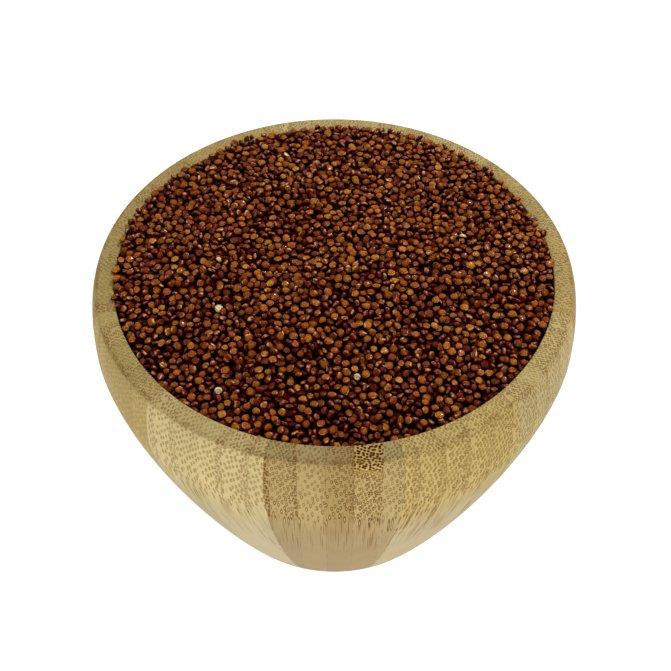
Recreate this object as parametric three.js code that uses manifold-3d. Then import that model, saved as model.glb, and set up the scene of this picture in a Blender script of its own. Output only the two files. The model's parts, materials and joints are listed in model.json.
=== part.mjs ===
// A turned bamboo bowl heaped with red quinoa.
// Millimetres, +Z up. The origin is the centre of the bowl's flat foot.

import * as THREE from 'three';
import { mergeVertices } from 'three/addons/utils/BufferGeometryUtils.js';
import Module from 'manifold-3d';

const wasm = await Module();
wasm.setup();

// ---- driving dimensions: the bowl ----
const BOWL_HEIGHT = 83;
const WIDEST_RADIUS = 60;
const SHOULDER_DROP = 14.4; // from the rim down to the widest level
const RIM_OUTER_RADIUS = 57.4;
const RIM_INNER_RADIUS = 53.5;
const RIM_INNER_ROUND = 0.6;
const FOOT_RADIUS = 35.5;
const FOOT_ROUND = 1.2;
const FLOOR_THICKNESS = 10;
const FLOOR_RADIUS = 29; // where the cavity's wall meets its floor
const WALL_FLARE = 1.93; // powers that shape the belly between foot and shoulder
const WALL_RISE = 1.51;

// ---- driving dimensions: the heap ----
const GAP = 0.3; // the heap keeps this far off the wood
const HEAP_EDGE_LEVEL = BOWL_HEIGHT - 0.8;
const HEAP_RISE = 7; // the dome's middle above its edge
const LUMP_HEIGHT = 0.4; // broad unevenness of the dome
const LUMP_LENGTH = 9;
const GRAIN_DIAMETER = 2.05;
const GRAIN_THICKNESS = 1.2;
const GRAIN_EDGE = 0.45; // height of a grain's blunt edge
const GRAIN_LIFT = 0.36; // a loose grain's middle above the bump that it lies on
const GRAIN_TILT = 0.5; // most that it leans either way, in radians
const SIZE_SPREAD = 0.1; // how far a grain's size strays either way
const BUMP_WIDTH = 3.4; // side of the triangle that each grain-sized bump stands on
const BUMP_RISE = [0.27, 0.63]; // least and most of a top above the dome, or a gap below it
const BUMP_SCATTER = 0.5; // most that tops and gaps stray each way from an even lattice
const LOOSE_GRAINS = 90;

// ---- fineness ----
const BOWL_SEGMENTS = 60;
const BELLY_STEPS = 9;
const SHOULDER_STEPS = 4;
const CAVITY_STEPS = 5;
const GRAIN_SIDES = 6;

const WIDEST_LEVEL = BOWL_HEIGHT - SHOULDER_DROP;
const HEAP_RADIUS = RIM_INNER_RADIUS - GAP;
const QUARTER_TURN = Math.PI / 2;
const FULL_TURN = Math.PI * 2;
const GOLDEN_ANGLE = Math.PI * (3 - Math.sqrt(5));

// Repeatable random numbers between two limits, by a linear congruential generator.
function makeRandom(seed) {
  let state = seed;
  return function random(low, high) {
    state = (Math.imul(state, 1664525) + 1013904223) >>> 0;
    return low + (high - low) * (state / 2 ** 32);
  };
}

// Half outline of a belly: it leaves a flat bottom and ends upright at its widest level.
function bellyCurve(bottomRadius, topRadius, bottomLevel, topLevel, steps) {
  const points = [];
  for (let i = 0; i <= steps; i += 1) {
    const turn = (i / steps) * QUARTER_TURN;
    const radius = bottomRadius + (topRadius - bottomRadius) * Math.sin(turn) ** WALL_FLARE;
    const level = bottomLevel + (topLevel - bottomLevel) * (1 - Math.cos(turn) ** WALL_RISE);
    points.push(new THREE.Vector2(radius, level));
  }
  return points;
}

// Half outline of the shoulder: from upright at the widest level over onto the flat rim.
function shoulderCurve() {
  const points = [];
  for (let i = 1; i <= SHOULDER_STEPS; i += 1) {
    const turn = (i / SHOULDER_STEPS) * QUARTER_TURN;
    const radius = RIM_OUTER_RADIUS + (WIDEST_RADIUS - RIM_OUTER_RADIUS) * Math.cos(turn);
    points.push(new THREE.Vector2(radius, WIDEST_LEVEL + SHOULDER_DROP * Math.sin(turn)));
  }
  return points;
}

// Half outline of the cavity, drawn in from the wood by a clearance, from its floor up.
function cavityCurve(clearance) {
  return bellyCurve(
    FLOOR_RADIUS - clearance,
    RIM_INNER_RADIUS - clearance,
    FLOOR_THICKNESS + clearance,
    WIDEST_LEVEL,
    CAVITY_STEPS,
  );
}

// A closed solid of revolution about Z from a half outline.
function turned(outline, segments) {
  return new THREE.LatheGeometry(outline, segments).rotateX(QUARTER_TURN);
}

function bowlGeometry() {
  const belly = bellyCurve(FOOT_RADIUS, WIDEST_RADIUS, 0, WIDEST_LEVEL, BELLY_STEPS).slice(1);
  const cavity = cavityCurve(0).reverse();
  const outline = [
    new THREE.Vector2(0, 0),
    new THREE.Vector2(FOOT_RADIUS - FOOT_ROUND, 0),
    new THREE.Vector2(FOOT_RADIUS, FOOT_ROUND / 2),
    ...belly,
    ...shoulderCurve(),
    new THREE.Vector2(RIM_INNER_RADIUS + RIM_INNER_ROUND, BOWL_HEIGHT),
    new THREE.Vector2(RIM_INNER_RADIUS, BOWL_HEIGHT - RIM_INNER_ROUND),
    ...cavity,
    new THREE.Vector2(0, FLOOR_THICKNESS),
  ];
  return turned(outline, BOWL_SEGMENTS);
}

// Level of the heap's smooth dome, with a few broad lumps that fade out at its edge.
function domeLevel(x, y) {
  const inward = 1 - (x * x + y * y) / (HEAP_RADIUS * HEAP_RADIUS);
  const lumps = Math.sin(x / LUMP_LENGTH) * Math.cos(y / LUMP_LENGTH) + Math.sin((x - y) / LUMP_LENGTH);
  return HEAP_EDGE_LEVEL + inward * (HEAP_RISE + LUMP_HEIGHT * lumps);
}

// A geometry with its shared corners merged, and nothing but positions.
function welded(geometry) {
  geometry.deleteAttribute('normal');
  geometry.deleteAttribute('uv');
  return mergeVertices(geometry);
}

// All that fills the cavity up to well above the heap, a clearance off the wood.
function cavityFillGeometry() {
  const top = BOWL_HEIGHT + 2 * HEAP_RISE;
  const outline = [
    new THREE.Vector2(0, FLOOR_THICKNESS + GAP),
    ...cavityCurve(GAP),
    new THREE.Vector2(HEAP_RADIUS, top),
    new THREE.Vector2(0, top),
  ];
  return welded(turned(outline, BOWL_SEGMENTS));
}

// A block under the heap's top, whose corners form an even lattice of triangles there.
function latticeBlockGeometry() {
  const cells = Math.ceil((2 * HEAP_RADIUS) / BUMP_WIDTH) * 2;
  const width = cells * BUMP_WIDTH;
  const block = welded(new THREE.BoxGeometry(width, width, FLOOR_THICKNESS, cells, cells, 1));
  const rowHeight = Math.sqrt(3) / 2;
  const lean = new THREE.Matrix4().set(1, -0.5, 0, 0, 0, rowHeight, 0, 0, 0, 0, 1, 0, 0, 0, 0, 1);
  return block.applyMatrix4(lean);
}

// The same point strayed sideways, and set a rise above the dome.
function onDome(point, rise, random) {
  const x = point.x + random(-BUMP_SCATTER, BUMP_SCATTER);
  const y = point.y + random(-BUMP_SCATTER, BUMP_SCATTER);
  return new THREE.Vector3(x, y, domeLevel(x, y) + rise);
}

// The block with its top bent to the dome and a bump raised on every triangle of it.
// Returns the geometry and the list of the bumps' tops.
function roughBlock(random) {
  const block = latticeBlockGeometry();
  const corners = [];
  for (let i = 0; i < block.attributes.position.count; i += 1) {
    const corner = new THREE.Vector3().fromBufferAttribute(block.attributes.position, i);
    corners.push(corner.z > 0 ? onDome(corner, -random(...BUMP_RISE), random) : corner);
  }
  const tops = [];
  const triangles = [];
  for (let i = 0; i < block.index.count; i += 3) {
    const [a, b, c] = [i, i + 1, i + 2].map((place) => block.index.getX(place));
    const middle = new THREE.Vector3().add(corners[a]).add(corners[b]).add(corners[c]).divideScalar(3);
    if (Math.min(corners[a].z, corners[b].z, corners[c].z) > 0) {
      const peak = corners.length + tops.length;
      tops.push(onDome(middle, random(...BUMP_RISE), random));
      triangles.push(a, b, peak, b, c, peak, c, a, peak);
    } else {
      triangles.push(a, b, c);
    }
  }
  const geometry = new THREE.BufferGeometry().setFromPoints([...corners, ...tops]);
  geometry.setIndex(triangles);
  return { geometry, tops };
}

// One seed: a thick disc with a blunt edge and two low cones.
function grainGeometry() {
  const outline = [
    new THREE.Vector2(0, -GRAIN_THICKNESS / 2),
    new THREE.Vector2(GRAIN_DIAMETER / 2, -GRAIN_EDGE / 2),
    new THREE.Vector2(GRAIN_DIAMETER / 2, GRAIN_EDGE / 2),
    new THREE.Vector2(0, GRAIN_THICKNESS / 2),
  ];
  return welded(turned(outline, GRAIN_SIDES));
}

// Loose seeds spread evenly along a sunflower spiral. Each lies on the nearest bump,
// tilted at random.
function looseGrainMatrices(tops, random) {
  const matrices = [];
  const reach = HEAP_RADIUS - GRAIN_DIAMETER;
  for (let i = 0; i < LOOSE_GRAINS; i += 1) {
    const radius = reach * Math.sqrt((i + 0.5) / LOOSE_GRAINS);
    const angle = i * GOLDEN_ANGLE;
    const aim = new THREE.Vector3(radius * Math.cos(angle), radius * Math.sin(angle), HEAP_EDGE_LEVEL);
    const bump = tops.reduce((best, top) => (top.distanceTo(aim) < best.distanceTo(aim) ? top : best));
    const place = new THREE.Vector3(bump.x, bump.y, bump.z + GRAIN_LIFT);
    const tiltX = random(-GRAIN_TILT, GRAIN_TILT);
    const tiltY = random(-GRAIN_TILT, GRAIN_TILT);
    const turn = new THREE.Quaternion().setFromEuler(new THREE.Euler(tiltX, tiltY, random(0, FULL_TURN)));
    const size = new THREE.Vector3().setScalar(random(1 - SIZE_SPREAD, 1 + SIZE_SPREAD));
    matrices.push(new THREE.Matrix4().compose(place, turn, size));
  }
  return matrices;
}

function toSolid(geometry) {
  return new wasm.Manifold(new wasm.Mesh({
    numProp: 3,
    vertProperties: new Float32Array(geometry.attributes.position.array),
    triVerts: new Uint32Array(geometry.index.array),
  }));
}

function toGeometry(solid) {
  const { vertProperties, triVerts } = solid.getMesh();
  const geometry = new THREE.BufferGeometry();
  geometry.setAttribute('position', new THREE.BufferAttribute(vertProperties, 3));
  geometry.setIndex(new THREE.BufferAttribute(triVerts, 1));
  return geometry;
}

// The body of a joined solid alone: hollows sealed by the joining are filled by it,
// and loose scraps are dropped.
function mainBody(solid) {
  return solid.decompose().reduce((best, piece) => (piece.volume() > best.volume() ? piece : best));
}

function heapGeometry() {
  const random = makeRandom(20240611);
  const { geometry, tops } = roughBlock(random);
  const core = toSolid(cavityFillGeometry()).intersect(toSolid(geometry));
  const grain = grainGeometry();
  const grains = looseGrainMatrices(tops, random)
    .map((matrix) => toSolid(grain.clone().applyMatrix4(matrix)));
  return toGeometry(mainBody(wasm.Manifold.union([core, ...grains])));
}

function named(name, geometry, material) {
  const mesh = new THREE.Mesh(geometry, material);
  mesh.name = name;
  return mesh;
}

const bamboo = new THREE.MeshStandardMaterial({ color: 0xb7a473, roughness: 0.55, metalness: 0 });
const redSeed = new THREE.MeshStandardMaterial({ color: 0x7a3d18, roughness: 0.5, metalness: 0 });

const bowlOfQuinoa = new THREE.Group();
bowlOfQuinoa.add(named('bowl', bowlGeometry(), bamboo));
bowlOfQuinoa.add(named('quinoa', heapGeometry(), redSeed));

export default bowlOfQuinoa;
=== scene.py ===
"""A turned bamboo bowl heaped with red quinoa, dressed round its CAD frame. The frame is in metres, +Z up."""

import json
import math

import bpy
import numpy as np
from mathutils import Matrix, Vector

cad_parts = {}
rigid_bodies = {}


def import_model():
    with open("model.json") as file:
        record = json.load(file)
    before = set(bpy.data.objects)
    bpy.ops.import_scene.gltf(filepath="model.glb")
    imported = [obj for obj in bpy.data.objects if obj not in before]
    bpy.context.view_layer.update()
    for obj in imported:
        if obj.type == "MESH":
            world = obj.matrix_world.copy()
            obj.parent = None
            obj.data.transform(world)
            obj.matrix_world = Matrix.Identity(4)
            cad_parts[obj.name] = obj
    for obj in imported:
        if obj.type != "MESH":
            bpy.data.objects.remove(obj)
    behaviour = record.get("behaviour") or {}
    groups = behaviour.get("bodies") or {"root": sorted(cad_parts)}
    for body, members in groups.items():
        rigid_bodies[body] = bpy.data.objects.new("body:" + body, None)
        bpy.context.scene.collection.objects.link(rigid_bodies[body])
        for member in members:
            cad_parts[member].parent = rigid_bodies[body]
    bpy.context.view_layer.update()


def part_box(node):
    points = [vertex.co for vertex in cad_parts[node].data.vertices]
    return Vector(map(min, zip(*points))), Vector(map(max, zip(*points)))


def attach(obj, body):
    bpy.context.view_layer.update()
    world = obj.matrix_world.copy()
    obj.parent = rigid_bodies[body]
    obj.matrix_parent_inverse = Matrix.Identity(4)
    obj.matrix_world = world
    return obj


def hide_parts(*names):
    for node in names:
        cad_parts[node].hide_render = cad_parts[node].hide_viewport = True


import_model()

MM = 0.001

# ---- sizes that the frame gives, in millimetres ----
BOWL_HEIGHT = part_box("bowl")[1].z / MM
WIDEST_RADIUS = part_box("bowl")[1].x / MM
HEAP_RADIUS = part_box("quinoa")[1].x / MM
HEAP_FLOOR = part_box("quinoa")[0].z / MM

# ---- the bowl's outline ----
GAP = 0.3                  # between the heap and the bowl
SHOULDER_DROP = 14.4
WIDEST_LEVEL = BOWL_HEIGHT - SHOULDER_DROP
RIM_OUTER_RADIUS = 57.4
RIM_INNER_RADIUS = HEAP_RADIUS + GAP
RIM_INNER_ROUND = 0.25
FOOT_RADIUS = 35.5
FOOT_ROUND = 1.2
FLOOR_LEVEL = HEAP_FLOOR - GAP
FLOOR_RADIUS = 29
WALL_FLARE = 1.93
WALL_RISE = 1.51
BOWL_SEGMENTS = 240
BELLY_STEPS = 44
SHOULDER_STEPS = 18
CAVITY_STEPS = 24
ROUND_STEPS = 4

# ---- the heap's outline ----
HEAP_RISE = 7              # from the dome's foot to its top
HEAP_FOOT_DROP = 0.8       # from the rim down to the dome's foot
HEAP_TOP = HEAP_RISE + BOWL_HEIGHT - HEAP_FOOT_DROP
LUMP_HEIGHT = 0.4
LUMP_LENGTH = 9
EDGE_LEVEL_FRONT = BOWL_HEIGHT - 1.2
EDGE_LEVEL_BACK = BOWL_HEIGHT + 0.8
EDGE_CLIMB = (-0.75, -0.1)   # shares of the radius, front to back, between which the edge climbs
EDGE_WAVE = 0.4            # how far the edge rises and dips along the rim behind
OVERRUN = 1.3              # how far seeds may lie over the rim's inner edge
BED_DEPTH = 3.2            # the dark bed under the loose seeds, below the heap's level
BED_RELIEF = 0.3
BED_RINGS = 150

# ---- the camera, the light and the floor ----
CAMERA_AIM = (0.31, 0, 58.3)
CAMERA_DISTANCE = 320
CAMERA_ELEVATION = math.radians(48.59)
SENSOR_WIDTH = 36
LENS = 66.2
SOFT_BOXES = (
    # name, place, side and power
    ("overhead", (310, 400, 610), 70, 2.55),
    ("front_left", (-600, -600, 300), 400, 1.55),
    ("front_right", (520, -670, 300), 150, 1.4),
)
WORLD_STRENGTH = 0.5
FLOOR_REACH = 2500
FLOOR_GLOW = 0.9
WHITE = (1, 1, 1, 1)


def smooth_step(value, low, high):
    share = np.clip((value - low) / (high - low), 0, 1)
    return share * share * (3 - 2 * share)


# ---------------------------------------------------------------- how materials are written

class Signal:
    """One output of a material's nodes. Sums of signals and numbers add Math nodes."""

    def __init__(self, finish, socket):
        self.finish = finish
        self.socket = socket

    def math(self, operation, *values):
        return self.finish.node("Math", {"operation": operation}, values)

    def __add__(self, other):
        return self.math("ADD", self, other)

    def __sub__(self, other):
        return self.math("SUBTRACT", self, other)

    def __mul__(self, other):
        return self.math("MULTIPLY", self, other)

    def __truediv__(self, other):
        return self.math("DIVIDE", self, other)

    def __pow__(self, other):
        return self.math("POWER", self, other)

    def __rsub__(self, other):
        return self.math("SUBTRACT", other, self)

    def __neg__(self):
        return self.math("MULTIPLY", self, -1)

    def __abs__(self):
        return self.math("ABSOLUTE", self)

    __radd__ = __add__
    __rmul__ = __mul__

    def sine(self):
        return self.math("SINE", self)

    def cosine(self):
        return self.math("COSINE", self)

    def floor(self):
        return self.math("FLOOR", self)

    def nearest(self):
        return self.math("ROUND", self)

    def wrapped(self, size):
        return self.math("FLOORED_MODULO", self, size)

    def or_more(self, other):
        """The larger of the two."""
        return self.math("MAXIMUM", self, other)

    def towards(self, other, share):
        """This signal where share is 0 and the other where it is 1."""
        return self + (other - self) * share

    def ramp(self, low, high):
        """0 below low and 1 above high, smooth between. Low may be the greater one."""
        settings = {"interpolation_type": "SMOOTHSTEP"}
        return self.finish.node("MapRange", settings, {"Value": self, "From Min": low, "From Max": high})


class Finish:
    """A material under construction: a Principled shader and whatever feeds it."""

    def __init__(self, name):
        self.material = bpy.data.materials.new(name)
        self.material.use_nodes = True
        self.tree = self.material.node_tree
        self.shader = self.tree.nodes["Principled BSDF"]

    def node(self, kind, settings=None, values=(), out=0):
        """Adds a node, sets it, fills its inputs by name or in order, and gives one output."""
        node = self.tree.nodes.new("ShaderNode" + kind)
        for key, setting in (settings or {}).items():
            if key == "stops":
                self.set_stops(node.color_ramp, setting)
            else:
                setattr(node, key, setting)
        pairs = values.items() if isinstance(values, dict) else enumerate(values)
        for key, value in pairs:
            self.fill(node.inputs[key], value)
        return Signal(self, node.outputs[out])

    def fill(self, socket, value):
        if isinstance(value, Signal):
            self.tree.links.new(value.socket, socket)
        else:
            socket.default_value = value

    def set_stops(self, ramp, stops):
        ramp.interpolation = "CONSTANT"
        ramp.elements.remove(ramp.elements[1])
        ramp.elements[0].color = stops[0][1]
        for place, colour in stops[1:]:
            ramp.elements.new(place).color = colour

    def picked(self, number, colours):
        """The colour that a whole number picks, counted from 0. Numbers past an end pick the one there."""
        stops = [(i / len(colours), colour) for i, colour in enumerate(colours)]
        return self.node("ValToRGB", {"stops": stops}, [(number + 0.5) / len(colours)])

    def place(self):
        """The point being shaded, in millimetres."""
        point = self.node("TexCoord", out="Object")
        return self.node("VectorMath", {"operation": "SCALE"}, {"Vector": point, "Scale": 1 / MM})

    def parts(self, vector):
        return [self.node("SeparateXYZ", None, [vector], out) for out in range(3)]

    def vector(self, x, y, z=0):
        return self.node("CombineXYZ", None, [x, y, z])

    def noise(self, vector, scale, detail=2, roughness=0.5):
        values = {"Vector": vector, "Scale": scale, "Detail": detail, "Roughness": roughness}
        return self.node("TexNoise", None, values)

    def cells(self, x, y, randomness):
        """Flat random cells of size 1: the distance from the nearest cell's middle, and that cell's luck."""
        settings = {"voronoi_dimensions": "2D"}
        values = {"Vector": self.vector(x, y), "Scale": 1, "Randomness": randomness}
        distance = self.node("TexVoronoi", settings, values, out="Distance")
        colour = self.node("TexVoronoi", settings, values, out="Color")
        return distance, self.parts(colour)[0]

    def attribute(self, name):
        return self.node("Attribute", {"attribute_name": name}, out="Fac")

    def mix(self, share, first, second):
        """Colour first where share is 0 and second where it is 1."""
        values = {"Factor": share, "A": first, "B": second}
        node = self.tree.nodes.new("ShaderNodeMix")
        node.data_type = "RGBA"
        inputs = {socket.name: socket for socket in node.inputs if socket.enabled}
        for key, value in values.items():
            self.fill(inputs[key], value)
        return Signal(self, next(socket for socket in node.outputs if socket.enabled))

    def shaded(self, colour, share):
        """The colour made darker or lighter by a share that varies over the surface."""
        return self.node("VectorMath", {"operation": "SCALE"}, {"Vector": colour, "Scale": share})

    def bump(self, height, strength, distance):
        values = {"Height": height, "Strength": strength, "Distance": distance * MM}
        return self.node("Bump", None, values)

    def finished(self, **inputs):
        """Fills the shader's inputs, named with underscores for spaces, and gives the material."""
        for name, value in inputs.items():
            self.fill(self.shader.inputs[name.replace("_", " ")], value)
        return self.material


def srgb(red, green, blue):
    """A colour given as it looks on screen, 0 to 255, as linear light."""
    def linear(channel):
        share = channel / 255
        return share / 12.92 if share <= 0.04045 else ((share + 0.055) / 1.055) ** 2.4
    return (linear(red), linear(green), linear(blue), 1)


# ---------------------------------------------------------------- the bamboo

# ---- the panels and strips that the bowl is glued up from ----
TAN = srgb(174, 148, 92)
STRAW = srgb(186, 164, 106)
YELLOW = srgb(199, 175, 110)
CREAM = srgb(193, 175, 123)
PALE = srgb(208, 188, 134)
PANEL_TRAITS = (
    # from the front panel rightwards: ground, how bold and far apart its bundles are, how much painted light
    # its rim gets
    (TAN, 1, 1.05, 1), (YELLOW, 1, 1.05, 1.14), (CREAM, 0.8, 1.1, 1.15), (TAN, 0.6, 1.2, 1.14),
    (STRAW, 0.8, 1.1, 1.05), (PALE, 0.6, 1.1, 1.03), (PALE, 1, 1.2, 1.04), (STRAW, 0.7, 1.1, 1.1),
    (TAN, 0.6, 1.1, 1.05), (TAN, 0.6, 1.2, 1), (STRAW, 0.5, 1.1, 1), (PALE, 0.8, 1.25, 1),
)
FRONT_STRIPS = (
    # the front panel's, from the left: ground, how bold and far apart its bundles are, how dark its skin is
    (srgb(180, 155, 97), 1, 1, 1),
    (srgb(185, 161, 105), 0.9, 1.12, 0.8),
    (srgb(182, 158, 104), 0.75, 1.35, 0.25),
    (srgb(173, 146, 91), 1, 1.25, 0.7),
    (srgb(197, 169, 110), 1, 0.92, 0.7),
    (srgb(186, 164, 109), 0.85, 1.15, 0.3),
)
FIRST_FRONT_STRIP = -2
PANELS = len(PANEL_TRAITS)
PANEL_ANGLE = math.tau / PANELS
PALE_JOINT = 10            # the joint that shows as a pale line of glue
STRIP_WIDTH = 6.23
FRONT_STRIP_START = 8.1    # from the front panel's middle to the first joint left of it
STRIP_STRIDE = 0.618       # how the joints shift from panel to panel, in strips
SKIN_START = 0.7           # how far across a strip its skin side begins
FRONT_SKIN_START = 0.82

# ---- the fibres, in millimetres ----
RIM_LEVELS = (82.3, 82.4)   # the wall's look turns into the rim's between these levels
STREAK_LEVEL = 43.5        # sets where the wall runs along the fibres
DEPTH_SHARE = 0.9          # how fast the pattern moves on outwards
DEPTH_BEND = 0.0107        # and with the square of the height over the streak level
STREAK_SPAN = (61, 54)     # rings give way to streaks between these levels
STREAK_SIZE = (0.34, 24)   # width and height of the cell that one streak lies in
FADE_SPAN = (36, 54)       # rings are faint low on the wall
STREAK_FADE_SPAN = (30, 46)
BLEACH_SPAN = (64, 42)     # the ground turns into the low ground between these levels
FOOT_SPAN = (0.5, 0.1)
FIBRE_FINENESS = 3.1
FIBRE_DRAW = 0.02          # a small number draws the fine fibres out upwards
ROW_LEAN = math.radians(28)   # the rows of bundles run aslant
BUNDLE_SQUEEZE = 1.14      # bundles are narrower across the strip than into it
BUNDLE_DISORDER = 0.42
RING_RADIUS = 0.22
RING_HALF_WIDTH = 0.14
CROWDED_SPACING = (0.8, 0.66)   # between the bundles of a skin side, across it and into the wall
CROWDED_DISORDER = 0.62
CROWDED_LEAN = 0.3
DARK_STRIP = 2             # the front panel's strip of crowded dark bundles
DARK_LEVEL = 80.2          # they end here, at a fine crack
CRACK_START = 5.2          # how far right of the front panel's middle the crack is highest
CRACK_RISE = 0.6           # how far above the dark bundles' end it is there
CRACK_BEND = 0.09
WORN_RADII = (56.9, 57.4, 58, 58.5)   # the worn edge fades in over the first two and out over the last two
WORN_LEVELS = (80, 81.5)

# ---- the bamboo's colours ----
RIM_GROUND = srgb(178, 156, 97)
LOW_GROUND = srgb(206, 191, 158)
FRONT_LOW_GROUND = srgb(181, 156, 116)
FOOT_GROUND = srgb(202, 184, 144)
DARK_GROUND = srgb(212, 178, 98)
MARK = srgb(110, 70, 0)
FRONT_MARK = srgb(72, 42, 0)
DARK_STRIP_MARK = srgb(66, 34, 0)
SKIN_MARK = srgb(108, 58, 0)
STREAK_MARK = srgb(116, 72, 4)
DARK_MARK = srgb(66, 30, 0)
BUNDLE_HALO = srgb(162, 128, 46)
BUNDLE_HEART = srgb(212, 190, 132)
CRACK_LINES = (
    # half width, share of it that is full, strength and colour: the pale lips, then the crack between them
    (0.55, 0.4, 0.6, srgb(206, 168, 92)),
    (0.16, 0.3, 0.8, srgb(128, 88, 34)),
)
JOINT_LINE = srgb(116, 80, 38)
PALE_GLUE = srgb(208, 196, 146)
WORN_EDGE = srgb(118, 82, 34)


class BambooGrain:
    """Signals that say where a point lies in the glued-up bowl, and which fibres it meets there."""

    def __init__(self, finish):
        self.finish = finish
        self.place = finish.place()
        x, y, self.z = finish.parts(self.place)
        self.radius = (x * x + y * y) ** 0.5
        self.azimuth = finish.node("Math", {"operation": "ARCTAN2"}, [x, -y])
        self.on_rim = self.z.ramp(*RIM_LEVELS)
        self.find_panel()
        self.find_strip()
        self.find_traits()
        self.find_dark_parts()
        self.find_fine_fibres()
        self.find_ringed_bundles()
        self.find_crowded_bundles()
        self.find_streaks()

    def find_panel(self):
        """The panel, how far across it and how deep along its fibres the point lies, and how near a joint."""
        panel = (self.azimuth / PANEL_ANGLE).nearest()
        turn = self.azimuth - panel * PANEL_ANGLE
        self.front = abs(panel).ramp(0.6, 0.4)
        self.panel = panel.wrapped(PANELS)
        self.across = self.radius * turn.sine()
        outward = self.radius * turn.cosine()
        self.depth = DEPTH_SHARE * outward - DEPTH_BEND * (self.z - STREAK_LEVEL) ** 2
        self.joint_distance = (PANEL_ANGLE / 2 - abs(turn)) * self.radius
        self.joint = self.joint_distance.ramp(0.22, 0.06)

    def find_strip(self):
        """The strip, how far across it the point lies, and three random numbers of its own."""
        shift = (self.panel * STRIP_STRIDE).wrapped(1)
        strips = (self.across + FRONT_STRIP_START) / STRIP_WIDTH + shift
        self.strip = strips.floor()
        self.front_strip = self.strip - FIRST_FRONT_STRIP
        self.within = strips - self.strip
        address = self.finish.vector(self.panel, self.strip)
        luck = self.finish.node("TexWhiteNoise", {"noise_dimensions": "2D"}, [address], out="Color")
        self.luck_a, self.luck_b, self.luck_c = self.finish.parts(luck)

    def find_traits(self):
        """How bold and how far apart the bundles are, how much painted light the rim gets, and how dark the
        skin side is.
        """
        # spacing and the rim's painted light pass 1, so they are halved to keep within a colour's usual range
        panel_rows = [(bold, spacing / 2, light / 2, 1) for _, bold, spacing, light in PANEL_TRAITS]
        front_rows = [(bold, spacing / 2, skin, 1) for _, bold, spacing, skin in FRONT_STRIPS]
        bold, spacing, light = self.finish.parts(self.finish.picked(self.panel, panel_rows))
        front_traits = self.finish.parts(self.finish.picked(self.front_strip, front_rows))
        self.front_bold, front_spacing, front_skin = front_traits
        self.bold = bold.towards(self.front_bold, self.front)
        self.spacing = 2 * spacing.towards(front_spacing, self.front)
        # painted light: the rims of the right and back panels are lightened, as light falls brighter there
        self.painted_rim_light = 2 * light
        skin_start = SKIN_START + (FRONT_SKIN_START - SKIN_START) * self.front
        skin_side = (self.within - skin_start).ramp(0, 0.05)
        self.skin = (self.luck_c.ramp(0.6, 0.8) * 0.5).towards(front_skin, self.front) * skin_side

    def find_dark_parts(self):
        """The front panel's dark strip, the dark patch at its top, and where small bundles crowd."""
        self.marked = self.front * abs(self.strip - DARK_STRIP).ramp(0.6, 0.4)
        self.dark = self.marked * self.z.ramp(DARK_LEVEL - 0.6, DARK_LEVEL + 0.8)
        self.crowd = self.skin.or_more(self.dark)

    def find_fine_fibres(self):
        """The fine fibres between the bundles, and broad clouds of tone."""
        sideways, inwards = self.across * FIBRE_FINENESS, self.depth * FIBRE_FINENESS
        drawn_out = self.finish.vector(sideways, inwards, self.z * FIBRE_DRAW)
        self.fibres = self.finish.noise(drawn_out, 1, 3, 0.6)
        self.cloud = self.finish.noise(self.place, 0.06, 3)

    def find_ringed_bundles(self):
        """Bundles in aslant rows, closer on the rim: a dark ring, the halo round it and its pale heart."""
        spacing = self.spacing * (0.95 + 0.1 * self.luck_b) * (1 - 0.25 * self.on_rim)
        bent = self.within + 0.2 * self.within * self.within
        sideways = bent * STRIP_WIDTH * BUNDLE_SQUEEZE / spacing + 31 * self.luck_a
        inwards = self.depth / BUNDLE_SQUEEZE / spacing + 57 * self.luck_c
        lean_cos, lean_sin = math.cos(ROW_LEAN), math.sin(ROW_LEAN)
        along_row = sideways * lean_cos - inwards * lean_sin
        over_rows = sideways * lean_sin + inwards * lean_cos
        distance, self.bundle_luck = self.finish.cells(along_row, over_rows, BUNDLE_DISORDER)
        distance = distance * spacing
        on_wall = 1 - self.on_rim
        radius = RING_RADIUS + 0.05 * self.bundle_luck + 0.04 * (self.front - self.marked) * on_wall
        radius = radius - 0.07 * self.on_rim
        self.ring = 1 - (abs(distance - radius) / (RING_HALF_WIDTH + 0.01 * self.marked)).ramp(0.4, 1)
        self.halo = distance.ramp(0.6, 0.3) * on_wall
        self.heart = distance.ramp(0.16, 0.08)

    def find_crowded_bundles(self):
        """The small bundles of the skin sides and of the dark patch."""
        sideways = (self.across + CROWDED_LEAN * self.depth) / CROWDED_SPACING[0]
        inwards = (self.depth - CROWDED_LEAN * self.across) / CROWDED_SPACING[1]
        distance, _ = self.finish.cells(sideways, inwards, CROWDED_DISORDER)
        self.blocks = distance.ramp(0.48, 0.36)

    def find_streaks(self):
        """Bundles seen from the side, as upright streaks, and the low part of the wall that has them."""
        sideways = self.across / STREAK_SIZE[0] + 13 * self.luck_a
        upwards = self.z / STREAK_SIZE[1] + 7 * self.luck_b
        distance, luck = self.finish.cells(sideways, upwards, 1)
        self.streaks = distance.ramp(0.36, 0.22) * luck.ramp(0.3, 0.65) * (0.2 + 0.8 * self.within)
        ragged = self.z + 12 * (self.luck_b - 0.5) + 14 * (self.cloud - 0.5) + 6 * (self.bundle_luck - 0.5)
        self.low = ragged.ramp(*STREAK_SPAN)


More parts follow.
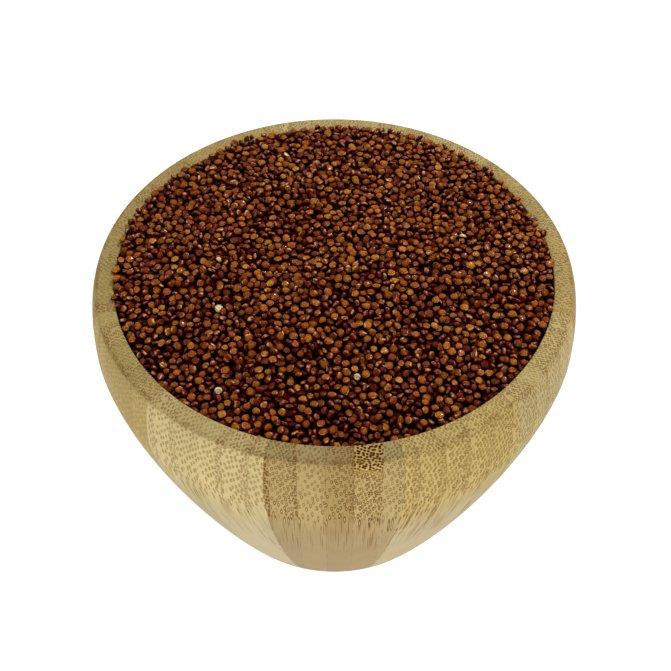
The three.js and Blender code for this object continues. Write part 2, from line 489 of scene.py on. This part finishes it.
def bamboo_ground(finish, at):
    """The wood between the bundles: each panel's or front strip's own, paler low down, plain underneath, with
    painted shade low on the wall and painted light on the rims.
    """
    panel_ground = finish.picked(at.panel, [traits[0] for traits in PANEL_TRAITS])
    panel_ground = finish.mix(at.on_rim * 0.6, panel_ground, RIM_GROUND)
    front_ground = finish.picked(at.front_strip, [traits[0] for traits in FRONT_STRIPS])
    low_ground = finish.mix(at.front, LOW_GROUND, FRONT_LOW_GROUND)
    colour = finish.mix(at.front, panel_ground, front_ground)
    colour = finish.mix(at.z.ramp(*BLEACH_SPAN) * 0.6, colour, low_ground)
    colour = finish.mix(at.z.ramp(*FOOT_SPAN), colour, FOOT_GROUND)
    colour = finish.mix(at.dark * 0.7, colour, DARK_GROUND)
    shade = (0.95 + 0.1 * at.luck_c) * (0.84 + 0.28 * at.cloud) * (0.9 + 0.2 * at.fibres)
    # painted shade: the wall is darkened low down, and the dark strip's foot a little more
    painted_low_shade = (1 - 0.18 * at.z.ramp(68, 50)) * (1 - 0.08 * at.marked * at.z.ramp(70, 58))
    # painted light and shade on the rim: each panel's painted light, less over the front panel
    painted_rim_shade = at.painted_rim_light - 0.17 * at.front
    return finish.shaded(colour, shade * painted_low_shade.towards(painted_rim_shade, at.on_rim))


def bundle_contrast(at):
    """How strongly the ringed bundles show."""
    on_wall = at.bold * (0.12 + 0.88 * at.z.ramp(*FADE_SPAN)) * (0.8 + 0.2 * at.within)
    on_rim = (0.55 + 0.75 * at.luck_a).towards(at.front_bold * 1.3, at.front)
    contrast = on_wall.towards(on_rim, at.on_rim)
    return contrast * (0.75 + 0.25 * at.bundle_luck) * (at.within + at.bundle_luck).ramp(0.1, 0.5)


def mark_colour(finish, at):
    """The colour of the dark fibres, by where they are."""
    colour = MARK
    for share, tone in ((at.front, FRONT_MARK), (at.marked, DARK_STRIP_MARK), (at.skin, SKIN_MARK),
                        (at.low, STREAK_MARK), (at.dark, DARK_MARK)):
        colour = finish.mix(share, colour, tone)
    return colour


def with_bundles(finish, at, ground):
    """The ground with its rings, crowded bundles and streaks. Each ring has a halo and a pale heart."""
    contrast = bundle_contrast(at)

    def of_rings(share):
        """The share where the bundles are ringed, neither crowded nor drawn out into streaks."""
        return share * contrast * (1 - at.crowd) * (1 - at.low)

    marks = (at.ring * contrast).towards(at.blocks * (0.85 + 0.15 * at.dark), at.crowd)
    marks = marks.towards(at.streaks * at.bold * at.z.ramp(*STREAK_FADE_SPAN), at.low)
    colour = finish.mix(of_rings(at.halo) * 0.45, ground, BUNDLE_HALO)
    colour = finish.mix(marks, colour, mark_colour(finish, at))
    return finish.mix(of_rings(at.heart) * 0.7, colour, BUNDLE_HEART)


def with_crack(finish, at, colour):
    """The colour with the fine crack at the foot of the dark patch."""
    above_crack = at.z - DARK_LEVEL - CRACK_RISE + CRACK_BEND * (at.across - CRACK_START) ** 2
    for half_width, full, strength, tone in CRACK_LINES:
        line = (abs(above_crack) / half_width).ramp(1, full)
        colour = finish.mix(at.marked * line * strength, colour, tone)
    return colour


def with_joints(finish, at, colour):
    """The colour with patchy dark glue lines between panels and strips, and one pale line of glue."""
    strip_line = (0.5 - abs(at.within - 0.5)).ramp(0.035, 0.008)
    patches = finish.noise(at.place, 0.25, 2).ramp(0.42, 0.66)
    joint_number = (at.azimuth / PANEL_ANGLE).floor().wrapped(PANELS)
    glued_pale = abs(joint_number - PALE_JOINT).ramp(0.6, 0.4)
    lines = (at.joint * 0.5 + strip_line * 0.4) * patches * (1 + 0.5 * at.on_rim) * (1 - glued_pale)
    colour = finish.mix(lines, colour, JOINT_LINE)
    glue = at.joint_distance.ramp(0.5, 0.2) * glued_pale * at.z.ramp(82.6, 81.6)
    return finish.mix(glue * 0.7, colour, PALE_GLUE)


def with_worn_edge(finish, at, colour):
    """The colour with the rim's outer edge worn darker in places."""
    near_in, near_full, far_full, far_out = WORN_RADII
    edge = at.radius.ramp(near_in, near_full) * at.radius.ramp(far_out, far_full) * at.z.ramp(*WORN_LEVELS)
    edge = edge * finish.noise(at.place, 0.3, 3).ramp(0.42, 0.6) * (0.25 + 0.75 * at.blocks)
    return finish.mix(edge * 0.6, colour, WORN_EDGE)


def bamboo_finish():
    """End-grain bamboo strips: ringed bundles of fibres, drawn out where the wall runs along them."""
    finish = Finish("bamboo")
    at = BambooGrain(finish)
    colour = bamboo_ground(finish, at)
    colour = with_bundles(finish, at, colour)
    colour = with_crack(finish, at, colour)
    colour = with_joints(finish, at, colour)
    colour = with_worn_edge(finish, at, colour)
    relief = finish.bump(at.fibres * 0.4 - at.joint - at.ring * 0.15, 0.25, 0.12)
    roughness = 0.55 + 0.12 * at.fibres
    return finish.finished(Base_Color=colour, Roughness=roughness, Normal=relief, Specular_IOR_Level=0.05)


# ---------------------------------------------------------------- the other materials

DEEP_RED = srgb(146, 20, 0)   # what shows through a seed where little light falls
HUSK_TONES = (srgb(196, 170, 120), srgb(236, 224, 194))
# painted shade: the bed's near-black tones stand for deeper seeds in the others' shade
BED_TONES = (srgb(26, 2, 0), srgb(58, 10, 2))
FLOOR_TONES = ((0.28, 0.28, 0.28, 1), (0.3, 0.3, 0.3, 1))


def seed_finish(name, face, side, highlight_tint):
    """A red quinoa seed: a waxy disc with a darker side, painted highlights near the edge of its face, and
    painted shade.
    """
    finish = Finish(name)
    place = finish.place()
    ring = finish.attribute("ring")
    # the tone attribute holds each seed's own tone together with painted shade for seeds lying deep in the
    # heap
    tone = finish.attribute("tone")
    mottle = finish.noise(place, 1.5, 2, 0.6)
    # painted highlights: pale patches towards the edge of the face, where its rounded rim would catch the
    # light
    painted_highlights = finish.noise(place, 1.3, 1).ramp(0.48, 0.64) * ring.ramp(0.5, 0.8)
    # painted shade: the colour is darkened in the groove round the face and in the face's dented middle
    groove = 1 - (abs(ring - 0.66) / 0.14).ramp(0.1, 1)
    painted_dimple_shade = ring.ramp(0.6, 0.1)
    # painted light and shade: surfaces that face up keep their colour, and the seed's sides and underside are
    # darkened
    painted_light_from_above = finish.parts(finish.node("NewGeometry", out="Normal"))[2].ramp(-0.1, 1)
    # the seed's own tone and mottle, times painted shade from its depth, its groove, its dimple and its
    # underside
    shade = tone * (0.3 + 1.4 * mottle) * (1 - 0.5 * groove) * (1 - 0.25 * painted_dimple_shade) * (0.05 + 0.95 * painted_light_from_above)
    # the darker side: partly the seed's own darker edge, partly painted shade that draws a dark outline round
    # each seed
    colour = finish.mix(ring.ramp(0.7, 0.96), face, side)
    colour = finish.mix(painted_highlights * 0.8, colour, highlight_tint)
    # painted shade: where the shade factor above darkens the seed, its colour turns towards deep red
    colour = finish.mix(shade.ramp(0.9, 0.1), colour, DEEP_RED)
    colour = finish.shaded(colour, shade)
    relief = finish.bump(mottle - groove * 0.8, 0.7, 0.18)
    gloss = 0.05 + 0.95 * finish.noise(place, 2.2, 1).ramp(0.5, 0.66)
    return finish.finished(Base_Color=colour, Roughness=0.35 + 0.2 * mottle, Normal=relief,
                           Specular_IOR_Level=0.03, Coat_Weight=gloss * shade.ramp(0.25, 1) * 0.7,
                           Coat_Roughness=0.16)


def chaff_finish():
    """Pale papery bits of husk."""
    finish = Finish("chaff")
    mottle = finish.noise(finish.place(), 2.5, 2)
    colour = finish.mix(mottle, *HUSK_TONES)
    return finish.finished(Base_Color=colour, Roughness=0.6 + 0.2 * mottle)


def bed_finish():
    """The deeper seeds, coloured nearly black: painted shade for the shade of those on top."""
    finish = Finish("bed")
    mottle = finish.noise(finish.place(), 0.7, 2)
    colour = finish.mix(mottle, *BED_TONES)
    return finish.finished(Base_Color=colour, Roughness=0.6 + 0.2 * mottle, Specular_IOR_Level=0.05)


def floor_finish():
    """A white table that glows a little, so that it stays pale under the bowl."""
    finish = Finish("floor")
    drift = finish.noise(finish.place(), 0.01, 1)
    colour = finish.mix(drift, *FLOOR_TONES)
    return finish.finished(Base_Color=colour, Roughness=0.9,
                           Emission_Color=WHITE, Emission_Strength=FLOOR_GLOW)


# ---------------------------------------------------------------- the bowl

def mesh_object(name, points, faces, material):
    """A smooth-shaded mesh object from points in millimetres."""
    mesh = bpy.data.meshes.new(name)
    mesh.from_pydata((np.asarray(points, float) * MM).tolist(), [], faces)
    mesh.polygons.foreach_set("use_smooth", [True] * len(mesh.polygons))
    mesh.materials.append(material)
    mesh.update()
    made = bpy.data.objects.new(name, mesh)
    bpy.context.scene.collection.objects.link(made)
    return made


def turned_shape(outline, segments):
    """Points and faces of a solid of revolution. The outline runs from axis to axis, as radius and level."""
    angle = np.arange(segments) * math.tau / segments
    circle = list(zip(np.cos(angle), np.sin(angle)))
    rings = outline[1:-1]
    points = [(0, 0, outline[0][1])]
    for radius, level in rings:
        points += [(radius * east, radius * north, level) for east, north in circle]
    points.append((0, 0, outline[-1][1]))
    last = len(points) - 1
    last_ring = 1 + (len(rings) - 1) * segments
    faces = []
    for j in range(segments):
        after = (j + 1) % segments
        faces.append((0, 1 + after, 1 + j))
        for low in range(1, last_ring, segments):
            high = low + segments
            faces.append((low + j, low + after, high + after, high + j))
        faces.append((last_ring + j, last_ring + after, last))
    return np.array(points, float), faces


def belly_curve(bottom_radius, top_radius, bottom_level, top_level, steps):
    """Half outline of a belly: it leaves a flat bottom and ends upright at its widest level."""
    turn = np.linspace(0, math.pi / 2, steps + 1)
    radius = bottom_radius + (top_radius - bottom_radius) * np.sin(turn) ** WALL_FLARE
    level = bottom_level + (top_level - bottom_level) * (1 - np.clip(np.cos(turn), 0, 1) ** WALL_RISE)
    return np.column_stack([radius, level])


def shoulder_curve():
    """From upright at the widest level over onto the flat rim."""
    turn = np.linspace(0, math.pi / 2, SHOULDER_STEPS + 1)[1:]
    radius = RIM_OUTER_RADIUS + (WIDEST_RADIUS - RIM_OUTER_RADIUS) * np.cos(turn)
    return np.column_stack([radius, WIDEST_LEVEL + SHOULDER_DROP * np.sin(turn)])


def rim_round():
    """The rim's rounded inner edge, from its flat top down into the cavity."""
    turn = np.linspace(0, math.pi / 2, ROUND_STEPS + 1)
    radius = RIM_INNER_RADIUS + RIM_INNER_ROUND * (1 - np.sin(turn))
    return np.column_stack([radius, BOWL_HEIGHT - RIM_INNER_ROUND * (1 - np.cos(turn))])


def bowl_piece():
    belly = belly_curve(FOOT_RADIUS, WIDEST_RADIUS, 0, WIDEST_LEVEL, BELLY_STEPS)[1:]
    belly = belly[belly[:, 1] > FOOT_ROUND / 2]
    cavity = belly_curve(FLOOR_RADIUS, RIM_INNER_RADIUS, FLOOR_LEVEL, WIDEST_LEVEL, CAVITY_STEPS)[::-1]
    foot = [(0, 0), (FOOT_RADIUS - FOOT_ROUND, 0), (FOOT_RADIUS - FOOT_ROUND / 4, FOOT_ROUND / 5)]
    middle = [(0, FLOOR_LEVEL)]
    outline = np.vstack([foot, belly, shoulder_curve(), rim_round(), cavity, middle])
    return mesh_object("bamboo_bowl", *turned_shape(outline, BOWL_SEGMENTS), bamboo_finish())


# ---------------------------------------------------------------- the heap

def heap_level(x, y):
    """Level that the seeds reach: a low dome whose edge stays under the rim in front and tops it behind."""
    inward = np.maximum(1 - (x * x + y * y) / HEAP_RADIUS ** 2, 0)
    lumps = np.sin(x / LUMP_LENGTH) * np.cos(y / LUMP_LENGTH) + np.sin((x - y) / LUMP_LENGTH)
    climb = smooth_step(y / HEAP_RADIUS, *EDGE_CLIMB)
    azimuth = np.arctan2(y, x)
    wave = EDGE_WAVE * np.sin(7 * azimuth + 2 * np.sin(3 * azimuth))
    edge = EDGE_LEVEL_FRONT + (EDGE_LEVEL_BACK - EDGE_LEVEL_FRONT + wave) * climb
    return edge + inward * (HEAP_TOP - edge + LUMP_HEIGHT * lumps)


def bed_level(x, y):
    """Top of the dark bed, with relief of the seeds' size."""
    relief = BED_RELIEF * np.sin(3.1 * x + 1.3 * np.sin(1.7 * y)) * np.sin(2.9 * y + 1.1 * np.sin(1.9 * x))
    return heap_level(x, y) - BED_DEPTH + relief


def bed_piece():
    """The closed solid of deeper seeds that fills the cavity."""
    wall = belly_curve(FLOOR_RADIUS - GAP, HEAP_RADIUS, HEAP_FLOOR, WIDEST_LEVEL, CAVITY_STEPS)
    top = np.column_stack([np.linspace(HEAP_RADIUS, 0, BED_RINGS), np.full(BED_RINGS, BOWL_HEIGHT)])
    points, faces = turned_shape(np.vstack([[(0, HEAP_FLOOR)], wall, top]), BOWL_SEGMENTS)
    on_top = points[:, 2] > WIDEST_LEVEL + 1
    points[on_top, 2] = bed_level(points[on_top, 0], points[on_top, 1])
    return mesh_object("seed_bed", points, faces, bed_finish())


RANDOM_SEED = 20240611
CELL = 0.12                # the height field's cell
FIELD_MARGIN = 4           # how far the height field reaches over the rim
DROP_MARGIN = 0.2          # how far inside the heap's edge seeds are let down
REACH = 11                 # half the side of the patch that one seed touches, in cells
SEED_RADIUS = (0.8, 1.2)
SEED_SIZE_SKEW = (2.4, 1.7)   # larger seeds are a little more common
SEED_HALF_THICKNESS = (0.4, 0.6)
STEEP_SHARE = 0.4          # the share of seeds that stand on edge or nearly so
STEEP_LEAN = (45, 85)
FLAT_LEAN_SPREAD = 33
ORIENTATIONS = 600
MOST_SEEDS = 6600
PATIENCE = 700             # the heap is full after this many misses on end
PICKS = 24                 # cells compared, to find a low one
TRIES = 7                  # seeds tried near that cell
WANDER = 5                 # how far from it they are tried, in cells
PROUD = 0.05               # how far over the heap's level a seed's middle may rest
TIREDNESS = 0.35           # how much less a cell is wanted after each miss


class SeedHeap:
    """A height field on which seeds come to rest one by one, each in the lowest place near where it falls."""

    def __init__(self):
        self.random = np.random.default_rng(RANDOM_SEED)
        self.half = int((RIM_INNER_RADIUS + FIELD_MARGIN) / CELL)
        axis = (np.arange(2 * self.half + 1) - self.half) * CELL
        x, y = np.meshgrid(axis, axis, indexing="ij")
        radius = np.hypot(x, y)
        self.target = heap_level(x, y)
        self.top = np.where(radius < RIM_INNER_RADIUS, bed_level(x, y), BOWL_HEIGHT)
        self.tired = np.zeros_like(self.top)
        self.open_cells = np.argwhere(radius < HEAP_RADIUS - DROP_MARGIN)
        self.shapes = [self.leaning_shape() for _ in range(ORIENTATIONS)]
        self.rested = []

    def leaning_shape(self):
        """A seed of random size and lean, with its lower and upper surface over a patch of cells."""
        radius = SEED_RADIUS[0] + (SEED_RADIUS[1] - SEED_RADIUS[0]) * self.random.beta(*SEED_SIZE_SKEW)
        half = self.random.uniform(*SEED_HALF_THICKNESS)
        steep = self.random.random() < STEEP_SHARE
        lean = self.random.uniform(*STEEP_LEAN) if steep else abs(self.random.normal(0, FLAT_LEAN_SPREAD))
        lean = math.radians(lean)
        heading = self.random.uniform(0, math.tau)
        axis = np.array([math.sin(lean) * math.cos(heading), math.sin(lean) * math.sin(heading)])
        low, high = seed_surfaces(radius, half, axis, math.cos(lean))
        return {"radius": radius, "half": half, "lean": lean, "heading": heading,
                "axis": axis, "low": low, "high": high}

    def window(self, i, j):
        return slice(i - REACH, i + REACH + 1), slice(j - REACH, j + REACH + 1)

    def kept_in(self, i, j, shape):
        """The cell drawn in, so that a seed of this shape stays off the wall or hangs little over the rim."""
        x, y = (i - self.half) * CELL, (j - self.half) * CELL
        distance = math.hypot(x, y)
        if distance < RIM_INNER_RADIUS - 2 * SEED_RADIUS[1]:
            return i, j
        along = (shape["axis"] @ (x / distance, y / distance)) ** 2
        extent = math.sqrt(shape["radius"] ** 2 + (shape["half"] ** 2 - shape["radius"] ** 2) * along)
        overrun = OVERRUN * float(smooth_step(y / HEAP_RADIUS, *EDGE_CLIMB))
        limit = min(1, (RIM_INNER_RADIUS + overrun - extent) / distance)
        return int(round(x * limit / CELL)) + self.half, int(round(y * limit / CELL)) + self.half

    def wanting_cell(self):
        """Of a few random cells, the one that lies furthest below the heap's level."""
        picks = self.open_cells[self.random.integers(len(self.open_cells), size=PICKS)]
        cells = tuple(picks.T)
        want = self.target[cells] - self.top[cells] - self.tired[cells]
        return picks[want.argmax()]

    def tried(self, i, j):
        """A random seed let down near a cell: how far over the heap's level it rests, where, and the seed."""
        shape = self.shapes[self.random.integers(len(self.shapes))]
        shift_i, shift_j = self.random.integers(-WANDER, WANDER + 1, size=2)
        i, j = self.kept_in(i + shift_i, j + shift_j, shape)
        height = float((self.top[self.window(i, j)] - shape["low"]).max())
        return height - self.target[i, j], i, j, height, shape

    def drop(self):
        """Lets one seed find its place. Gives False where the heap is already high enough."""
        cell = self.wanting_cell()
        rests = [self.tried(*cell) for _ in range(TRIES)]
        over, i, j, height, shape = min(rests, key=lambda rest: rest[0])
        if over > PROUD:
            self.tired[self.window(*cell)] += TIREDNESS
            return False
        window = self.window(i, j)
        self.top[window] = np.maximum(self.top[window], height + shape["high"])
        self.rested.append(((i - self.half) * CELL, (j - self.half) * CELL, height, shape))
        return True

    def filled(self):
        """Places and shapes of all the seeds, once no more find room."""
        misses = 0
        while len(self.rested) < MOST_SEEDS and misses < PATIENCE:
            misses = 0 if self.drop() else misses + 1
        return self.rested


def seed_surfaces(radius, half, axis, upright):
    """Lower and upper surface of a leaning flattened ball over a patch of cells, and infinite beside it."""
    steps = (np.arange(2 * REACH + 1) - REACH) * CELL
    dx, dy = np.meshgrid(steps, steps, indexing="ij")
    squeeze = 1 / half ** 2 - 1 / radius ** 2
    side = axis[0] * dx + axis[1] * dy
    # both surfaces lie where squared * height ** 2 + 2 * single * height + constant is 0
    squared = 1 / radius ** 2 + squeeze * upright ** 2
    single = squeeze * upright * side
    constant = (dx ** 2 + dy ** 2) / radius ** 2 + squeeze * side ** 2 - 1
    inside = single ** 2 - squared * constant > 0
    root = np.sqrt(np.where(inside, single ** 2 - squared * constant, 0))
    low = np.where(inside, (-single - root) / squared, np.inf)
    high = np.where(inside, (-single + root) / squared, -np.inf)
    return low, high


# ---------------------------------------------------------------- the seeds

# ---- the unit seed: radius 1, half thickness 1 ----
SEED_SIDES = 9
SEED_OUTLINE = np.array([
    (0, -0.8), (0.54, -0.94), (0.87, -0.62), (1, 0), (0.87, 0.62), (0.54, 0.94), (0, 0.8)])
SEED_RING = (0, 0.54, 0.87, 1, 0.87, 0.54, 0)   # share of the way from the face's middle to its edge
SEED_SHAPES = (
    # beak, dent, lobes, wedge
    (0, 0, 2, 0), (0.16, 0.1, 3, 0.12), (0.12, 0.45, 2, 0.2),
    (0.08, 0.25, 3, -0.15), (0.18, 0.6, 4, 0.1), (0.1, 0.3, 2, -0.25),
)

# ---- the mix of seeds and husks ----
SEED_KINDS = (
    # name, share of the heap, and colours of the face, the side and the painted highlights
    ("chestnut_seeds", 0.22, srgb(177, 100, 10), srgb(108, 30, 0), srgb(222, 160, 100)),
    ("russet_seeds", 0.18, srgb(172, 93, 10), srgb(104, 27, 0), srgb(216, 152, 100)),
    ("rust_seeds", 0.22, srgb(163, 82, 8), srgb(98, 22, 0), srgb(206, 140, 92)),
    ("copper_seeds", 0.17, srgb(189, 117, 16), srgb(122, 40, 0), srgb(228, 176, 112)),
    ("umber_seeds", 0.16, srgb(152, 74, 8), srgb(86, 20, 0), srgb(196, 130, 84)),
    ("plum_seeds", 0.05, srgb(122, 50, 12), srgb(68, 14, 3), srgb(162, 104, 74)),
    ("straw_seeds", 0, srgb(246, 226, 158), srgb(222, 192, 118), srgb(255, 246, 210)),
)
SEED_OVAL = (0.93, 1.0)
SEED_TONE = (0.87, 1.48)
SHADE_SPAN = (-2.3, 0.2)   # heights over the heap's level between which a seed comes out of the others' shade
TOP_LAYER = -0.5           # seeds from here up are on top
STRAW_SPOTS = ((-27, -1), (-27, -17), (-25, -38), (6, -37), (-11, 40), (32, 7))
STRAW_TONE = 1.15
CHAFF_BITS = 60
CHAFF_SIZE = (0.55, 0.16, 0.07)
CHAFF_SPREAD = (0.6, 1.2)
CHAFF_SHIFT = 0.7

# ---- what the scatter is given, and what it reads from each point ----
SCATTER_SOCKETS = (
    ("Geometry", "INPUT", "Geometry"), ("Shapes", "INPUT", "Collection"), ("Unit", "INPUT", "Float"),
    ("Finish", "INPUT", "Material"), ("Geometry", "OUTPUT", "Geometry"),
)
SPOT_LAYERS = (
    ("facing", "QUATERNION", "value"), ("stretch", "FLOAT_VECTOR", "vector"),
    ("tone", "FLOAT", "value"), ("shape", "INT", "value"),
)


def seed_shape(name, beak, dent, lobes, wedge):
    """One unit seed: a small beak beside a notch at its edge, dented faces, and a slightly wedged body."""
    outline = SEED_OUTLINE.copy()
    outline[[0, -1], 1] *= 1 - dent
    points, faces = turned_shape(outline, SEED_SIDES)
    angle = np.arctan2(points[:, 1], points[:, 0])
    reach = np.hypot(points[:, 0], points[:, 1])
    bulge = 1 + beak * np.exp(-(angle / 0.4) ** 2) - 0.6 * beak * np.exp(-((angle - 0.8) / 0.4) ** 2)
    bulge = bulge + 0.05 * np.cos(lobes * angle)
    points[:, :2] *= np.where(reach > 0.8, bulge, 1)[:, None]
    points[:, 2] *= 1 + wedge * points[:, 0]
    mesh = bpy.data.meshes.new(name)
    mesh.from_pydata(points.tolist(), [], faces)
    mesh.polygons.foreach_set("use_smooth", [True] * len(mesh.polygons))
    ring = [SEED_RING[0], *np.repeat(SEED_RING[1:-1], SEED_SIDES), SEED_RING[-1]]
    mesh.attributes.new("ring", "FLOAT", "POINT").data.foreach_set("value", ring)
    return bpy.data.objects.new(name, mesh)


def shape_collection():
    """All the unit seeds, for the scatter to pick from."""
    shapes = bpy.data.collections.new("seed_shapes")
    bpy.context.scene.collection.children.link(shapes)
    for number, traits in enumerate(SEED_SHAPES):
        shapes.objects.link(seed_shape(f"seed_shape_{number}", *traits))
    return shapes


def remove_collection(collection):
    for member in list(collection.objects):
        bpy.data.objects.remove(member)
    bpy.data.collections.remove(collection)


def scatter_tree():
    """Geometry nodes: on each point, one shape of a collection, turned and stretched as the point says."""
    tree = bpy.data.node_groups.new("scatter", "GeometryNodeTree")
    for name, way, kind in SCATTER_SOCKETS:
        tree.interface.new_socket(name, in_out=way, socket_type="NodeSocket" + kind)

    def add(kind, settings=None, **links):
        node = tree.nodes.new(kind)
        for key, value in (settings or {}).items():
            setattr(node, key, value)
        for key, socket in links.items():
            tree.links.new(socket, node.inputs[key.replace("_", " ")])
        return node

    def stored(name, kind):
        node = add("GeometryNodeInputNamedAttribute", {"data_type": kind})
        node.inputs["Name"].default_value = name
        return node.outputs["Attribute"]

    given = add("NodeGroupInput").outputs
    shapes = add("GeometryNodeCollectionInfo", {"transform_space": "ORIGINAL"}, Collection=given["Shapes"])
    shapes.inputs["Separate Children"].default_value = True
    shapes.inputs["Reset Children"].default_value = True
    size = add("ShaderNodeVectorMath", {"operation": "SCALE"}, Vector=stored("stretch", "FLOAT_VECTOR"),
               Scale=given["Unit"])
    placed = add("GeometryNodeInstanceOnPoints", None, Points=given["Geometry"],
                 Instance=shapes.outputs["Instances"], Instance_Index=stored("shape", "INT"),
                 Rotation=stored("facing", "QUATERNION"), Scale=size.outputs["Vector"])
    placed.inputs["Pick Instance"].default_value = True
    real = add("GeometryNodeRealizeInstances", None, Geometry=placed.outputs["Instances"])
    painted = add("GeometryNodeSetMaterial", None, Geometry=real.outputs["Geometry"],
                  Material=given["Finish"])
    add("NodeGroupOutput", None, Geometry=painted.outputs["Geometry"])
    return tree


def spot_mesh(name, spots):
    """Loose points with the attributes that the scatter reads."""
    mesh = bpy.data.meshes.new(name)
    mesh.from_pydata((spots["place"] * MM).tolist(), [], [])
    for key, kind, field in SPOT_LAYERS:
        layer = mesh.attributes.new(key, kind, "POINT")
        layer.data.foreach_set(field, spots[key].ravel())
    return mesh


def scattered(name, tree, shapes, material, spots):
    """A plain mesh of all spots' shapes. Spots holds places, facing, stretch, tone and shape as arrays."""
    points = spot_mesh(name + "_points", spots)
    piece = bpy.data.objects.new(name, points)
    bpy.context.scene.collection.objects.link(piece)
    modifier = piece.modifiers.new("scatter", "NODES")
    modifier.node_group = tree
    values = {"Shapes": shapes, "Unit": MM, "Finish": material}
    for item in tree.interface.items_tree:
        if item.in_out == "INPUT" and item.name in values:
            modifier[item.identifier] = values[item.name]
    depsgraph = bpy.context.evaluated_depsgraph_get()
    mesh = bpy.data.meshes.new_from_object(piece.evaluated_get(depsgraph), depsgraph=depsgraph,
                                           preserve_all_data_layers=True)
    piece.modifiers.clear()
    mesh.name = name
    for key in ("facing", "stretch", "shape"):
        if key in mesh.attributes:
            mesh.attributes.remove(mesh.attributes[key])
    piece.data = mesh
    bpy.data.meshes.remove(points)
    return piece


def facing(lean, heading, spin):
    """Quaternions that lean a seed's axis over towards a heading, after a spin about that axis."""
    lean_w, lean_x = np.cos(heading / 2) * np.cos(lean / 2), -np.sin(heading / 2) * np.sin(lean / 2)
    lean_y, lean_z = np.cos(heading / 2) * np.sin(lean / 2), np.sin(heading / 2) * np.cos(lean / 2)
    spin_w, spin_z = np.cos(spin / 2), np.sin(spin / 2)
    return np.column_stack([
        lean_w * spin_w - lean_z * spin_z, lean_x * spin_w + lean_y * spin_z,
        lean_y * spin_w - lean_x * spin_z, lean_w * spin_z + lean_z * spin_w])


def seed_spots(rested, lift, random):
    """Arrays of the seeds' places, how they are turned and stretched, their tones and their shapes."""
    count = len(rested)
    radius, half, lean, heading = (np.array([shape[trait] for _, _, _, shape in rested])
                                   for trait in ("radius", "half", "lean", "heading"))
    oval = random.uniform(*SEED_OVAL, count)
    return {
        "place": np.array([(x, y, z) for x, y, z, _ in rested]),
        "facing": facing(lean, heading, random.uniform(0, math.tau, count)),
        "stretch": np.column_stack([radius, radius * oval, half]),
        # painted shade: a seed's tone is darkened the deeper it lies below the heap's level
        "tone": random.uniform(*SEED_TONE, count) * (0.1 + 0.9 * smooth_step(lift, *SHADE_SPAN)),
        "shape": random.integers(len(SEED_SHAPES), size=count),
    }


def seed_kinds(spots, lift, random):
    """Each seed's number in SEED_KINDS. The pale kind comes last, with spots and a tone of its own."""
    kind = random.choice(len(SEED_KINDS), size=len(lift), p=[share for _, share, *_ in SEED_KINDS])
    for x, y in STRAW_SPOTS:
        away = np.hypot(spots["place"][:, 0] - x, spots["place"][:, 1] - y)
        nearest = np.argmin(away - 2 * lift)
        kind[nearest] = len(SEED_KINDS) - 1
        spots["tone"][nearest] = STRAW_TONE
    return kind


def chaff_spots(spots, lift, random):
    """Bits of husk that lie flat on seeds of the top layer."""
    under = random.choice(np.flatnonzero(lift > TOP_LAYER), CHAFF_BITS, replace=False)
    bits = {key: values[under] for key, values in spots.items()}
    bits["place"][:, 2] += spots["stretch"][under, 2]
    bits["place"][:, :2] += random.uniform(-CHAFF_SHIFT, CHAFF_SHIFT, (CHAFF_BITS, 2))
    bits["stretch"] = np.array(CHAFF_SIZE) * random.uniform(*CHAFF_SPREAD, (CHAFF_BITS, 1))
    return bits


def seed_pieces():
    """One piece for each kind of seed, and one for the bits of husk."""
    rested = SeedHeap().filled()
    random = np.random.default_rng(RANDOM_SEED + 1)
    lift = np.array([z - heap_level(x, y) for x, y, z, _ in rested])
    spots = seed_spots(rested, lift, random)
    kind = seed_kinds(spots, lift, random)
    shapes = shape_collection()
    tree = scatter_tree()
    pieces = []
    for number, (name, _, *colours) in enumerate(SEED_KINDS):
        chosen = {key: values[kind == number] for key, values in spots.items()}
        pieces.append(scattered(name, tree, shapes, seed_finish(name, *colours), chosen))
    bits = chaff_spots(spots, lift, random)
    pieces.append(scattered("chaff_bits", tree, shapes, chaff_finish(), bits))
    remove_collection(shapes)
    return pieces


# ---------------------------------------------------------------- camera, light and floor

def place_camera():
    camera = bpy.data.cameras.new("camera")
    camera.sensor_width = SENSOR_WIDTH
    camera.lens = LENS
    back = np.array([0, -math.cos(CAMERA_ELEVATION), math.sin(CAMERA_ELEVATION)])
    rig = bpy.data.objects.new("camera", camera)
    rig.location = (np.array(CAMERA_AIM) + CAMERA_DISTANCE * back) * MM
    rig.rotation_euler = (math.pi / 2 - CAMERA_ELEVATION, 0, 0)
    bpy.context.scene.collection.objects.link(rig)
    bpy.context.scene.camera = rig


def place_light(name, place, side, power):
    """A square soft box that faces the bowl."""
    light = bpy.data.lights.new(name, "AREA")
    light.size = side * MM
    light.energy = power
    box = bpy.data.objects.new(name, light)
    box.location = np.array(place) * MM
    box.rotation_euler = (-box.location).to_track_quat("-Z", "Y").to_euler()
    bpy.context.scene.collection.objects.link(box)


def light_studio():
    world = bpy.data.worlds.new("studio")
    world.use_nodes = True
    world.node_tree.nodes["Background"].inputs["Color"].default_value = WHITE
    world.node_tree.nodes["Background"].inputs["Strength"].default_value = WORLD_STRENGTH
    bpy.context.scene.world = world
    for soft_box in SOFT_BOXES:
        place_light(*soft_box)
    bpy.context.scene.view_settings.view_transform = "Standard"


def floor_piece():
    corners = [(x * FLOOR_REACH, y * FLOOR_REACH, 0) for x, y in ((-1, -1), (1, -1), (1, 1), (-1, 1))]
    floor = mesh_object("floor", corners, [(0, 1, 2, 3)], floor_finish())


# ---------------------------------------------------------------- the scene

place_camera()
light_studio()
floor_piece()

bowl = bowl_piece()
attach(bowl, "root")
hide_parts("bowl")

for piece in [bed_piece(), *seed_pieces()]:
    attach(piece, "root")
    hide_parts("quinoa")
